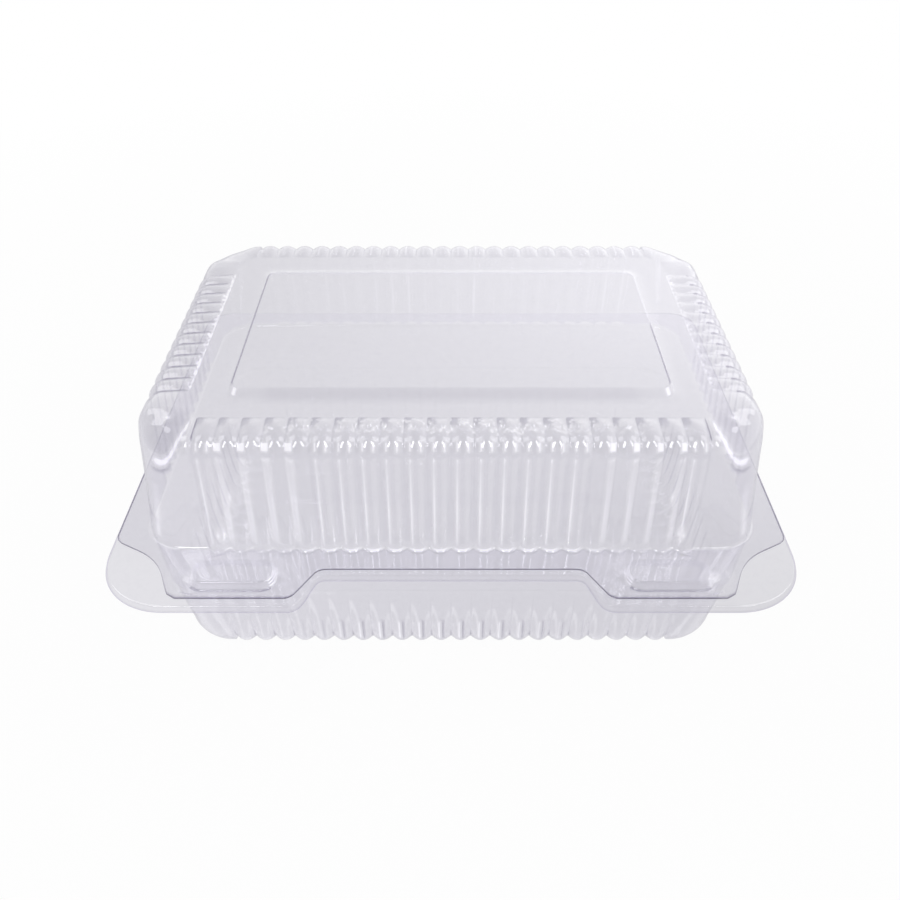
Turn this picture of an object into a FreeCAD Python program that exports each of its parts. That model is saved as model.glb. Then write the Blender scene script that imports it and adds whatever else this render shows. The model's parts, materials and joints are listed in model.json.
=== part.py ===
import FreeCAD, Part
import math
import os

# A hinged clear food pack, closed: a fluted tub and a fluted domed lid, formed
# from one thin sheet and joined along the back by a folded hinge line.
# Millimetres. X runs along the hinge, -Y is the front with the two snap tabs,
# +Z is up, and the tub's flat bottom is at z = 0.

# The formed sheet and the plane in which the two flanges meet
SHEET = 0.4
CONTACT_Z = 60.5

# Flutes, counted on one long and one short side
FLUTE_PITCH = 7.81
LONG_FLUTES = 22
SHORT_FLUTES = 11
FLUTE_FACETS = 4

# Lid: flat top, flat ledge round it, rounded shoulder and drafted wall
TOP_Z = 105.4
TOP_MARGIN_X = 6.6
TOP_MARGIN_Y = 16.6
TOP_CORNER = 6.0
LEDGE_X = 8.8
LEDGE_Y = 7.8
LEDGE_SINK = 0.6
SHOULDER_RADIUS = 6.0
SHOULDER_CORNER = 20.0
SHOULDER_RELIEF = 1.4
WALL_DRAFT_X = 2.2
WALL_DRAFT_Y = 3.2
MOUTH_CORNER = 14.0
MOUTH_RELIEF = 2.2

# Tub: plain band under the flange, then flutes down to a rounded bottom edge
BAND_DEPTH = 24.0
BAND_DRAFT = 1.2
FLUTE_HEAD = 5.0
TUB_DRAFT = 3.0
TUB_RELIEF = 1.5
BOTTOM_RADIUS = 9.0
BOTTOM_SINK = 0.6
BOTTOM_FLAT_WIDTH = 4.0
LOW_CORNER = 18.0
BOTTOM_CORNER = 12.0

# Raised panel on the lid's top, with a wide slope at the front
PANEL_RISE = 1.3
PANEL_MARGIN_X = 14.7
PANEL_MARGIN_Y = 16.3
PANEL_CORNER = 4.0
PANEL_SIDE_SLOPE = 0.9
PANEL_FRONT_SLOPE = 5.5

# Lid flange: side and back widths, and the snap tabs at the front
SIDE_FLANGE = 10.4
BACK_FLANGE = 11.0
FRONT_FLANGE = 10.6
BACK_CORNER = 12.0
TAB_X = 74.3
TAB_REACH = 13.2
TAB_HALF = 20.5
TAB_SLANT = 8.0
TAB_CORNER = 4.5
CUT_RUN = 7.8
CUT_RISE = 17.9
CUT_END = 9.2
CUT_RADIUS = 24.0

# Tub flange: how far it shows past the lid's, and its turned-down lip
SIDE_SHOW = 0.2
FRONT_SHOW = 2.9
RECESS_SHOW = 2.1
PULL_CORNER = 24.0
TUB_TAB_HALF = 22.7
TUB_TAB_SLANT = 5.1
LIP_OUT = 1.2
LIP_DROP = 2.0

# Snap knobs: the tub's knob, and the clearance of the lid's knob over it
KNOB_LENGTH = 29.4
KNOB_WIDTH = 12.2
KNOB_CORNER = 5.4
KNOB_HEIGHT = 2.7
KNOB_SLOPE = 1.5
KNOB_FROM_TAB_EDGE = 9.6
KNOB_CLEARANCE = 0.3

# The straight left beside a corner at the tightest level, and the tolerance for joining faces
CORNER_ROOM = 0.3
SEW_TOLERANCE = 0.001
FLATNESS = 0.00001

# Plan sizes that follow, as half widths at each height
long_run = LONG_FLUTES * FLUTE_PITCH / 2
short_run = SHORT_FLUTES * FLUTE_PITCH / 2
top_x = long_run + TOP_MARGIN_X
top_y = short_run + TOP_MARGIN_Y
ledge_x = top_x + LEDGE_X
ledge_y = top_y + LEDGE_Y
wall_x = ledge_x + SHOULDER_RADIUS
wall_y = ledge_y + SHOULDER_RADIUS
mouth_x = wall_x + WALL_DRAFT_X
mouth_y = wall_y + WALL_DRAFT_Y
flange_x = mouth_x + SIDE_FLANGE

# Distances along Y from the bowl's middle, and the shift that centres the pack
hinge_reach = mouth_y + BACK_FLANGE
recess_reach = mouth_y + FRONT_FLANGE
tab_reach = recess_reach + TAB_REACH
front_reach = tab_reach + FRONT_SHOW + LIP_OUT
BOWL_Y = (front_reach - hinge_reach) / 2
hinge_y = BOWL_Y + hinge_reach


def point(x, y, z):
    """A point whose y is measured from the middle of the bowl."""
    return FreeCAD.Vector(x, y + BOWL_Y, z)


def lines(points):
    """Straight edges from each point to the next."""
    return [Part.LineSegment(a, b).toShape() for a, b in zip(points, points[1:])]


def rounded(corners, z):
    """The closed outline of corners (x, y, radius) at height z, each turned by a tangent arc."""
    arcs = []
    count = len(corners)
    for i, (x, y, radius) in enumerate(corners):
        here = point(x, y, z)
        back = (point(*corners[i - 1][:2], z) - here).normalize()
        ahead = (point(*corners[(i + 1) % count][:2], z) - here).normalize()
        half_angle = back.getAngle(ahead) / 2
        tangent = radius / math.tan(half_angle)
        bisector = (back + ahead).normalize()
        middle = here + bisector * (radius / math.sin(half_angle) - radius)
        arcs.append((here + back * tangent, middle, here + ahead * tangent))
    edges = []
    for i, (start, middle, end) in enumerate(arcs):
        edges.append(Part.Arc(start, middle, end).toShape())
        edges.append(Part.LineSegment(end, arcs[(i + 1) % count][0]).toShape())
    return edges


def grown(corners, distance):
    """The same counter-clockwise corners with every side moved outward by distance."""
    result = []
    count = len(corners)
    for i, (x, y, radius) in enumerate(corners):
        x0, y0 = corners[i - 1][:2]
        x1, y1 = corners[(i + 1) % count][:2]
        along0 = math.atan2(y - y0, x - x0)
        along1 = math.atan2(y1 - y, x1 - x)
        turn = math.remainder(along1 - along0, 2 * math.pi)
        bisector = along0 + turn / 2 - math.pi / 2
        reach = distance / math.cos(turn / 2)
        new_radius = radius + math.copysign(distance, distance * turn)
        result.append((x + reach * math.cos(bisector), y + reach * math.sin(bisector), new_radius))
    return result


def rectangle(x, low_y, high_y, radius):
    """Corners of a rectangle centred on x = 0, counter-clockwise from the back right."""
    return [(x, high_y, radius), (-x, high_y, radius), (-x, low_y, radius), (x, low_y, radius)]


def moved(corners, x, y):
    return [(cx + x, cy + y, radius) for cx, cy, radius in corners]


def flute_ring(half_x, half_y, corner, relief, z, lift):
    """One level of a bowl: a rounded rectangle whose four sides carry the flutes.

    A flute's bulge is a parabola of height relief across its pitch, in FLUTE_FACETS straight
    steps. lift gives the share of the bulge that goes outward and the share that goes up."""
    corner = min(corner, half_x - long_run - CORNER_ROOM, half_y - short_run - CORNER_ROOM)
    edges = []
    sides = [(1, 0, long_run, half_x, half_y), (0, 1, short_run, half_y, half_x),
             (-1, 0, long_run, half_x, half_y), (0, -1, short_run, half_y, half_x)]
    for index, (along_x, along_y, run, half_length, out) in enumerate(sides):
        # Outward is the direction of travel turned clockwise by a right angle
        out_x, out_y = along_y, -along_x

        def at(s, bulge=0.0):
            reach = out + bulge * lift[0]
            return point(along_x * s + out_x * reach, along_y * s + out_y * reach, z + bulge * lift[1])

        steps = round(2 * run / FLUTE_PITCH) * FLUTE_FACETS
        shares = [i % FLUTE_FACETS / FLUTE_FACETS for i in range(steps + 1)]
        edges += lines([at(i * FLUTE_PITCH / FLUTE_FACETS - run, 4 * relief * share * (1 - share))
                        for i, share in enumerate(shares)])
        turn = half_length - corner
        along = FreeCAD.Vector(along_x, along_y, 0)
        outward = FreeCAD.Vector(out_x, out_y, 0)
        centre = at(turn) - outward * corner
        middle = centre + (along + outward).normalize() * corner
        end = centre + along * corner
        next_run = sides[(index + 1) % len(sides)][2]
        edges += lines([at(run), at(turn)])
        edges.append(Part.Arc(at(turn), middle, end).toShape())
        edges += lines([end, end - outward * (out - corner - next_run)])
    return edges


def panel_between(lower, upper):
    """Faces between two edges: a ruled surface on arcs, else one flat panel or two triangles."""
    if not (is_straight(lower) and is_straight(upper)):
        return [Part.makeRuledSurface(lower, upper)]
    a, b = [vertex.Point for vertex in lower.Vertexes]
    d, c = [vertex.Point for vertex in upper.Vertexes]
    twist = abs((b - a).cross(d - a).normalize().dot(c - a))
    corners = [[a, b, c, d]] if twist < FLATNESS else [[a, b, c], [a, c, d]]
    return [Part.Face(Part.makePolygon(ring + ring[:1])) for ring in corners]


def is_straight(edge):
    return edge.Curve.TypeId == "Part::GeomLine"


def ruled(lower, upper):
    """Faces between two outlines with the same number of edges."""
    return [face for pair in zip(lower, upper) for face in panel_between(*pair)]


def walls(levels):
    """Faces through a list of outlines, one band between each two."""
    return [face for lower, upper in zip(levels, levels[1:]) for face in ruled(lower, upper)]


def flat(outline, *holes):
    """A flat face inside outline, around any holes."""
    return Part.makeFace([Part.Wire(outline)] + [Part.Wire(hole) for hole in holes], "Part::FaceMakerBullseye")


def closed_solid(faces):
    """One closed solid from faces that meet edge to edge."""
    joined = Part.makeCompound(faces)
    joined.sewShape(SEW_TOLERANCE)
    solid = Part.Solid(joined.Shells[0])
    if solid.Volume < 0:
        solid.reverse()
    return solid


def lid_levels(inset):
    """Outlines of the lid's bowl from the flange up; inset is 0 outside and SHEET inside."""
    upright = (1.0, 0.0)
    level = (0.0, 1.0)
    diagonal = (math.sqrt(0.5), math.sqrt(0.5))
    radius = SHOULDER_RADIUS - inset
    ledge_z = TOP_Z - LEDGE_SINK
    turned = SHOULDER_RADIUS - radius * math.sqrt(0.5)
    return [
        flute_ring(mouth_x - inset, mouth_y - inset, MOUTH_CORNER - inset, MOUTH_RELIEF,
                   CONTACT_Z + SHEET - inset, upright),
        flute_ring(wall_x - inset, wall_y - inset, SHOULDER_CORNER - inset, SHOULDER_RELIEF,
                   ledge_z - SHOULDER_RADIUS, upright),
        flute_ring(wall_x - turned, wall_y - turned, SHOULDER_CORNER - turned, SHOULDER_RELIEF,
                   ledge_z - turned, diagonal),
        flute_ring(ledge_x, ledge_y, SHOULDER_CORNER - SHOULDER_RADIUS, SHOULDER_RELIEF,
                   ledge_z - inset, level),
        flute_ring(top_x, top_y, TOP_CORNER, 0.0, TOP_Z - inset, level),
    ]


def tub_levels(inset):
    """Outlines of the tub's bowl from the flange down; inset is 0 outside and SHEET inside."""
    upright = (1.0, 0.0)
    level = (0.0, -1.0)
    diagonal = (math.sqrt(0.5), -math.sqrt(0.5))
    radius = BOTTOM_RADIUS - inset
    turned = BOTTOM_RADIUS - radius * math.sqrt(0.5)
    band_x = mouth_x - BAND_DRAFT
    band_y = mouth_y - BAND_DRAFT
    low_x = band_x - TUB_DRAFT
    low_y = band_y - TUB_DRAFT
    ring_z = BOTTOM_SINK
    flat_x = low_x - BOTTOM_RADIUS - BOTTOM_FLAT_WIDTH
    flat_y = low_y - BOTTOM_RADIUS - BOTTOM_FLAT_WIDTH
    head_draft = TUB_DRAFT * FLUTE_HEAD / (CONTACT_Z - BAND_DEPTH - ring_z - BOTTOM_RADIUS)
    return [
        flute_ring(mouth_x - inset, mouth_y - inset, MOUTH_CORNER - inset, 0.0,
                   CONTACT_Z - SHEET + inset, upright),
        flute_ring(band_x - inset, band_y - inset, MOUTH_CORNER - inset, 0.0,
                   CONTACT_Z - BAND_DEPTH, upright),
        flute_ring(band_x - head_draft - inset, band_y - head_draft - inset, MOUTH_CORNER - inset,
                   TUB_RELIEF, CONTACT_Z - BAND_DEPTH - FLUTE_HEAD, upright),
        flute_ring(low_x - inset, low_y - inset, LOW_CORNER - inset, TUB_RELIEF,
                   ring_z + BOTTOM_RADIUS, upright),
        flute_ring(low_x - turned, low_y - turned, BOTTOM_CORNER, TUB_RELIEF,
                   ring_z + turned, diagonal),
        flute_ring(flat_x, flat_y, BOTTOM_CORNER / 2, 0.0, inset, level),
    ]


def lid_outline():
    """Corners of the lid's flange, counter-clockwise from the back right."""
    tab_y = -tab_reach
    recess_y = -recess_reach
    left = [(-flange_x, tab_y + CUT_RISE + CUT_END, TAB_CORNER),
            (-TAB_X - TAB_HALF - CUT_RUN, tab_y + CUT_RISE, CUT_RADIUS),
            (-TAB_X - TAB_HALF, tab_y, TAB_CORNER),
            (-TAB_X + TAB_HALF, tab_y, TAB_CORNER),
            (-TAB_X + TAB_HALF + TAB_SLANT, recess_y, TAB_CORNER)]
    right = [(-x, y, radius) for x, y, radius in reversed(left)]
    return [(flange_x, hinge_reach, BACK_CORNER), (-flange_x, hinge_reach, BACK_CORNER)] + left + right


def tub_outline():
    """Corners of the crease where the tub's flange turns down, counter-clockwise from the back right."""
    crease_x = flange_x + SIDE_SHOW
    tab_y = -tab_reach - FRONT_SHOW
    recess_y = -recess_reach - RECESS_SHOW
    left = [(-crease_x, tab_y, PULL_CORNER),
            (-TAB_X + TUB_TAB_HALF, tab_y, TAB_CORNER),
            (-TAB_X + TUB_TAB_HALF + TUB_TAB_SLANT, recess_y, TAB_CORNER)]
    right = [(-x, y, radius) for x, y, radius in reversed(left)]
    return [(crease_x, hinge_reach, BACK_CORNER), (-crease_x, hinge_reach, BACK_CORNER)] + left + right


def knob_levels(side, growth, foot_z, top_z):
    """Foot and top outlines of a snap knob, grown all round from the tub's own knob."""
    foot = moved(rectangle(KNOB_LENGTH / 2, -KNOB_WIDTH / 2, KNOB_WIDTH / 2, KNOB_CORNER),
                 side * TAB_X, KNOB_FROM_TAB_EDGE - tab_reach)
    return [rounded(grown(foot, growth), foot_z), rounded(grown(foot, growth - KNOB_SLOPE), top_z)]


def panel_levels(inset):
    """Foot and top outlines of the raised panel on the lid's top."""
    x = top_x - PANEL_MARGIN_X
    y = top_y - PANEL_MARGIN_Y
    shrink = -inset / 2
    foot = rectangle(x + PANEL_SIDE_SLOPE, -y - PANEL_FRONT_SLOPE, y + PANEL_SIDE_SLOPE,
                     PANEL_CORNER + PANEL_SIDE_SLOPE)
    top = rectangle(x, -y, y, PANEL_CORNER)
    return [rounded(grown(foot, shrink), TOP_Z - inset),
            rounded(grown(top, shrink), TOP_Z + PANEL_RISE - inset)]


def lid_skin(inset):
    """All faces of one side of the lid's sheet; inset is 0 outside and SHEET inside."""
    bowl = lid_levels(inset)
    panel = panel_levels(inset)
    flange_z = CONTACT_Z + SHEET - inset
    growth = KNOB_CLEARANCE + SHEET - inset
    knob_top = CONTACT_Z + KNOB_HEIGHT + KNOB_CLEARANCE + SHEET - inset
    knobs = [knob_levels(side, growth, flange_z, knob_top) for side in (-1, 1)]
    faces = [flat(rounded(lid_outline(), flange_z), bowl[0], *[knob[0] for knob in knobs])]
    faces += walls(bowl)
    faces += [flat(bowl[-1], panel[0]), flat(panel[-1])]
    faces += walls(panel)
    for knob in knobs:
        faces += walls(knob) + [flat(knob[-1])]
    return faces


def tub_skin(inset, outline):
    """All faces of one side of the tub's sheet; inset is 0 underneath and SHEET inside."""
    bowl = tub_levels(inset)
    flange_z = CONTACT_Z - SHEET + inset
    growth = inset - SHEET
    knob_top = CONTACT_Z + KNOB_HEIGHT - SHEET + inset
    knobs = [knob_levels(side, growth, flange_z, knob_top) for side in (-1, 1)]
    faces = [flat(outline, bowl[0], *[knob[0] for knob in knobs])]
    faces += walls(bowl) + [flat(bowl[-1])]
    for knob in knobs:
        faces += walls(knob) + [flat(knob[-1])]
    return faces


def lid():
    """The domed lid: one thin sheet, its flange lying on the tub's."""
    edge = ruled(rounded(lid_outline(), CONTACT_Z), rounded(lid_outline(), CONTACT_Z + SHEET))
    return closed_solid(lid_skin(0.0) + lid_skin(SHEET) + edge)


def tub():
    """The tub: one thin sheet, its flange ending in a turned-down lip except along the hinge."""
    slope = math.atan2(LIP_DROP, LIP_OUT)
    crease = tub_outline()
    crease_inset = -SHEET * math.tan(slope / 2)
    top_crease = rounded(crease, CONTACT_Z)
    low_crease = rounded(grown(crease, crease_inset), CONTACT_Z - SHEET)
    top_lip = rounded(grown(crease, LIP_OUT), CONTACT_Z - LIP_DROP)
    low_lip = rounded(grown(crease, LIP_OUT - SHEET * math.sin(slope)),
                      CONTACT_Z - LIP_DROP - SHEET * math.cos(slope))
    faces = tub_skin(SHEET, top_crease) + tub_skin(0.0, low_crease)
    # The first three edges of an outline are the two back corners and the hinge line between them
    plain = 3
    faces += ruled(top_crease[:plain], low_crease[:plain])
    faces += ruled(top_crease[plain:], top_lip[plain:])
    faces += ruled(low_crease[plain:], low_lip[plain:])
    faces += ruled(top_lip[plain:], low_lip[plain:])
    for edge, end in ((plain, 0), (-1, -1)):
        ring = [outline[edge].Vertexes[end].Point for outline in (top_crease, top_lip, low_lip, low_crease)]
        faces.append(Part.Face(Part.makePolygon(ring + ring[:1])))
    return closed_solid(faces)


os.makedirs("parts", exist_ok=True)
for name, shape in (("tub", tub()), ("lid", lid())):
    shape.exportStep("parts/" + name + ".step")
    box = shape.BoundBox
    print(name, "closed", shape.isClosed(), "faces", len(shape.Faces), "volume", round(shape.Volume, 1))
    print("  x", round(box.XMin, 3), round(box.XMax, 3), "y", round(box.YMin, 3), round(box.YMax, 3),
          "z", round(box.ZMin, 3), round(box.ZMax, 3))
print("hinge line at y", round(hinge_y, 3), "z", CONTACT_Z, "bowl middle at y", round(BOWL_Y, 3))
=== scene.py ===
import json
import math

import bpy
import numpy as np
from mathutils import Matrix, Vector


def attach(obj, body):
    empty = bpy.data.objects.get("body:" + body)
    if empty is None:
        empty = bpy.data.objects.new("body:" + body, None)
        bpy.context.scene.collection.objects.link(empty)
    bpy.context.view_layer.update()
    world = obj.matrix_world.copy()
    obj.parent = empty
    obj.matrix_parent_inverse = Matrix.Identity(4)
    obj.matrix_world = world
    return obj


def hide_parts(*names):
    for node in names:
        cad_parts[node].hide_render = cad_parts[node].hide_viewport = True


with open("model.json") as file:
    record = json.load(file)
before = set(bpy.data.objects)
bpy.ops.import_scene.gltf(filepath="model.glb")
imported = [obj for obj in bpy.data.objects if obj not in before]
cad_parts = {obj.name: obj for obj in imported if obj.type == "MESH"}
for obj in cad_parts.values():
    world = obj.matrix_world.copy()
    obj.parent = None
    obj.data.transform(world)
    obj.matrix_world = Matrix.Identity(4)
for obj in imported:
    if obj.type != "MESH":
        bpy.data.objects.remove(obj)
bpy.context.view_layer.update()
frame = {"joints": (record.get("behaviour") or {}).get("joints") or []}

# A clear, hinged food pack standing closed: a fluted tub and a fluted domed lid, formed from one
# thin sheet and joined along the back by a fold. Lengths are millimetres until a mesh is made.
# X runs along the hinge, -Y is the front, and y is measured from the middle of the bowl.
MM = 0.001

# The hinge gives the height where the two flanges meet and the middle of the bowl
hinge = frame["joints"][0]["pos_m"]
CONTACT_Z = hinge[2] / MM
SHEET = 0.4
FLANGE_GAP = 0.05

# Flutes, counted on one long and one short side
FLUTE_PITCH = 7.81
LONG_FLUTES = 22
SHORT_FLUTES = 11
FLUTE_SAMPLES = 9
VALLEY_CROWDING = 0.55
VALLEY_SOFTNESS = 0.16
END_VALLEY_SHARE = 0.7
MARGIN_SHARES = np.array([0.0, 0.05, 0.35, 0.68, 1.0])
CORNER_SAMPLES = 22
CORNER_ROOM = 0.3
CORNER_ONSET = 0.4
CREASE_WIDTH = 0.25
CORNER_FULLNESS = 0.8
ROUND_CORNER_LOSS = 0.5

# Lid
TOP_Z = 105.4
TOP_MARGIN_X = 6.6
TOP_MARGIN_Y = 16.6
TOP_CORNER = 6.0
LEDGE_X = 8.8
LEDGE_Y = 7.8
LEDGE_SINK = 0.6
SHOULDER_RADIUS = 6.0
SHOULDER_CORNER = 20.0
SHOULDER_RELIEF = 1.4
LEDGE_FADE = 2.2
CORNER_DROP = 13.0
BACK_CORNER_DROP = 0.35
WALL_DRAFT_X = 2.2
WALL_DRAFT_Y = 3.2
MOUTH_CORNER = 14.0
MOUTH_RELIEF = 2.2
FOOT_FILLET = 1.2
SHOULDER_ROWS = 17

# Tub
BAND_DEPTH = 24.0
BAND_DRAFT = 1.2
BAND_STEP = 0.5
BAND_STEP_DEPTH = 1.6
FLUTE_HEAD = 26.0
TUB_DRAFT = 3.0
TUB_RELIEF = 1.5
BOTTOM_RADIUS = 9.0
BOTTOM_SINK = 0.6
BOTTOM_FLAT_WIDTH = 4.0
LOW_CORNER = 18.0
NOTCH_EXTRA = 0.7
NOTCH_FROM = 0.4
NOTCH_TURN = 75.0
BOTTOM_CORNER = 9.0

# Raised panel on the lid's top
PANEL_RISE = 1.3
PANEL_MARGIN_X = 14.7
PANEL_MARGIN_Y = 16.3
PANEL_CORNER = 4.0
PANEL_SIDE_SLOPE = 1.1
PANEL_FRONT_SLOPE = 5.5

# Lid flange
SIDE_FLANGE = 10.4
BACK_FLANGE = 11.0
FRONT_FLANGE = 10.6
BACK_CORNER = 12.0
TAB_X = 74.3
TAB_REACH = 13.2
TAB_HALF = 20.5
TAB_SLANT = 8.0
TAB_CORNER = 4.5
CUT_RUN = 7.8
CUT_RISE = 17.9
CUT_END = 9.2
CUT_RADIUS = 24.0

# Tub flange and its turned-down lip
SIDE_SHOW = 0.2
FRONT_SHOW = 2.9
RECESS_SHOW = 2.1
PULL_CORNER = 24.0
TUB_TAB_HALF = 22.7
TUB_TAB_SLANT = 5.1
LIP_OUT = 1.2
LIP_DROP = 2.0

# Snap knobs, the low pad round each and the half-round nubs at its ends
KNOB_LENGTH = 29.4
KNOB_WIDTH = 12.2
KNOB_CORNER = 5.4
KNOB_HEIGHT = 2.7
KNOB_SLOPE = 1.7
KNOB_FROM_TAB_EDGE = 9.6
KNOB_CLEARANCE = 0.3
PAD_HALF_X = 21.4
PAD_HALF_Y = 7.7
PAD_EDGE = 0.7
PAD_RISE = 0.12
PAD_CORNER_TRIM = 0.3
NUB_RADIUS = 2.5
NUB_RISE = 1.0
NUB_FROM_KNOB = 0.4
ARC_SHARE_ACROSS = 0.32
ARC_SHARE_UP = 0.42

# Rows of the skins: the tub's lip, shares of the way from a flange's outline to the foot of the bowl,
# angles of the foot's fillet, and shares of the way up the lid's wall. A knob takes up the flange's rows
# from the first to the last named, over a stretch along the front, where the foot is this near its front.
LIP_ROWS = 4
FLANGE_SHARES = [0, 0.025, 0.06, 0.13, 0.21, 0.29, 0.37, 0.45, 0.53, 0.61, 0.69, 0.77, 0.85, 0.92, 0.97, 1]
FILLET_BEND = np.radians([0, 22, 45, 68, 90])
WALL_SHARES = np.array([0.06, 0.15, 0.3, 0.45, 0.6, 0.75, 0.83, 0.87, 0.905, 0.94, 0.97, 1.0])
KNOB_FIRST_ROW = 2
KNOB_LAST_ROW = 14
KNOB_STRETCH = (51.0, 99.6)
FRONT_WITHIN = 1.5

# Half the angle, seen from the middle, in which a flange's outline is matched to one side
OUTLINE_WINDOW = math.radians(52)

# How much painted shade darkens the flanges over their whole width
FLANGE_SHADE = 0.035

# Materials
SHEET_IOR = 1.57
CLEAR = (0.976, 0.974, 0.984, 1.0)
STEEP = (0.42, 0.40, 0.50, 1.0)
EDGE_TINT = (0.22, 0.20, 0.28, 1.0)
LIP_TINT = (0.84, 0.82, 0.90, 1.0)
# Tint of the painted highlights, brighter than white
PAINTED_HIGHLIGHT_TINT = (1.2, 1.2, 1.2, 1.0)
SHADOW_TINT = (0.93, 0.93, 0.94, 1.0)
WHITE = (1.0, 1.0, 1.0, 1.0)
STEEP_POWER = 14.0
HAZE_TINT = 0.03
SHEET_BUMP = 0.12
EDGE_BUMP = 0.1
BUMP_REACH = 0.0004
# How sharply the painted highlights rise from their edges
HIGHLIGHT_SHARPNESS = 2.5
SHARP_ANGLE = math.radians(55)

# Marks of the forming: sizes of the waves, the draw lines and the rubbed spots, and the draw lines' height
WAVE_SCALE = 55.0
DRAW_LINE_SCALE = (900.0, 900.0, 22.0)
DRAW_LINE_SHARE = 0.12
RUB_SCALE = 420.0
RUB_ROUGHNESS = 0.7
RUB_FROM = 0.45

# From the first to the last of these depths a wall seen through others fades to the share that stays
FADING_DEPTHS = (1.0, 3.0)
SEEN_THROUGH = 0.25
MIRROR_KEPT = 0.4

# A look through the closed pack passes up to twelve skins, and a mirrored one as many again
CLEAR_LAYERS = 24

# Floor and room: the backdrop's painted shade behind the pack and how much of it each skin brings, the
# floor's whiteness near the pack, its painted slants of light behind the pack, and what the sheet mirrors
# of the room from each side
PAINTED_SHADE_BEHIND_PACK = (0.76, 0.754, 0.786, 1.0)
BEHIND_PER_SKIN = 0.42
FLOOR_HALF = 3.0
FLOOR_DROP = 0.0001
FLOOR_COLOR = (0.8, 0.8, 0.8, 1.0)
FLOOR_WHITENESS = 0.94
SHADOW_RANGE = (0.15, 0.7)
FLOOR_POLISH = 0.08
FLOOR_POLISH_ROUGHNESS = 0.05
# Painted slant of light on the floor seen through the pack: its strength, its lift at the back, and its
# ranges
FLOOR_LIGHT_SLANT = 0.17
FLOOR_LIGHT_FURTHER = 0.045
LIGHT_SLANT_RANGE_X = (-0.2, 0.2)
LIGHT_SLANT_RANGE_Y = (-0.1, 0.2)
ROOM_LEVEL = 0.95
ROOM_SIDE = 0.35
ROOM_BACK = 0.4
ROOM_OVERHEAD = 0.5
ROOM_FILL = 0.5

# Lamps, at one height and distance, aimed at the middle of the pack
LAMP_ELEVATION = 49.0
LAMP_DISTANCE = 1.1
LAMP_HEIGHT = 0.65
LAMP_AIM_Z = 0.08

# The photograph's view: looking along +Y and down, from in front of the pack
CAMERA_PLACE = (0.0, -0.28596, 0.28141)
CAMERA_DOWN = 38.97
CAMERA_LENS = 34.72
CAMERA_SENSOR = 36.0
CAMERA_SHIFT = -0.0011

# Half widths that follow
long_run = LONG_FLUTES * FLUTE_PITCH / 2
short_run = SHORT_FLUTES * FLUTE_PITCH / 2
top_x = long_run + TOP_MARGIN_X
top_y = short_run + TOP_MARGIN_Y
ledge_x = top_x + LEDGE_X
ledge_y = top_y + LEDGE_Y
wall_x = ledge_x + SHOULDER_RADIUS
wall_y = ledge_y + SHOULDER_RADIUS
mouth_x = wall_x + WALL_DRAFT_X
mouth_y = wall_y + WALL_DRAFT_Y
flange_x = mouth_x + SIDE_FLANGE
hinge_reach = mouth_y + BACK_FLANGE
recess_reach = mouth_y + FRONT_FLANGE
tab_reach = recess_reach + TAB_REACH
bowl_y = hinge[1] / MM - hinge_reach


def smooth(t):
    """The share t eased at both ends: 3 t squared less 2 t cubed, held between 0 and 1."""
    t = np.clip(t, 0.0, 1.0)
    return t * t * (3 - 2 * t)


def bell(x, middle, width):
    """A bell curve: 1 at the middle, and 1 over e at the width from it."""
    return np.exp(-(((x - middle) / width) ** 2))


def column(*values):
    """A column of numbers, one for each row."""
    return np.array(values)[:, None]


def mixed(a, b, share):
    """Rows of points from a to b, one row for each share."""
    share = np.asarray(share, float).reshape(-1, 1, 1)
    return a * (1 - share) + b * share


def flute_shares():
    """Where a flute is sampled across its pitch: evenly, less a sine that crowds them into the valleys."""
    t = np.arange(FLUTE_SAMPLES) / FLUTE_SAMPLES
    return t - VALLEY_CROWDING * np.sin(2 * np.pi * t) / (2 * np.pi)


def flute_bulge(share):
    """Height of a flute, 0 in the valley and 1 on the crest: a parabola, its sharp foot rounded by a
    root."""
    arch = 4 * share * (1 - share)
    rounded = np.sqrt(arch**2 + VALLEY_SOFTNESS**2) - VALLEY_SOFTNESS
    return rounded / (math.sqrt(1 + VALLEY_SOFTNESS**2) - VALLEY_SOFTNESS)


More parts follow.
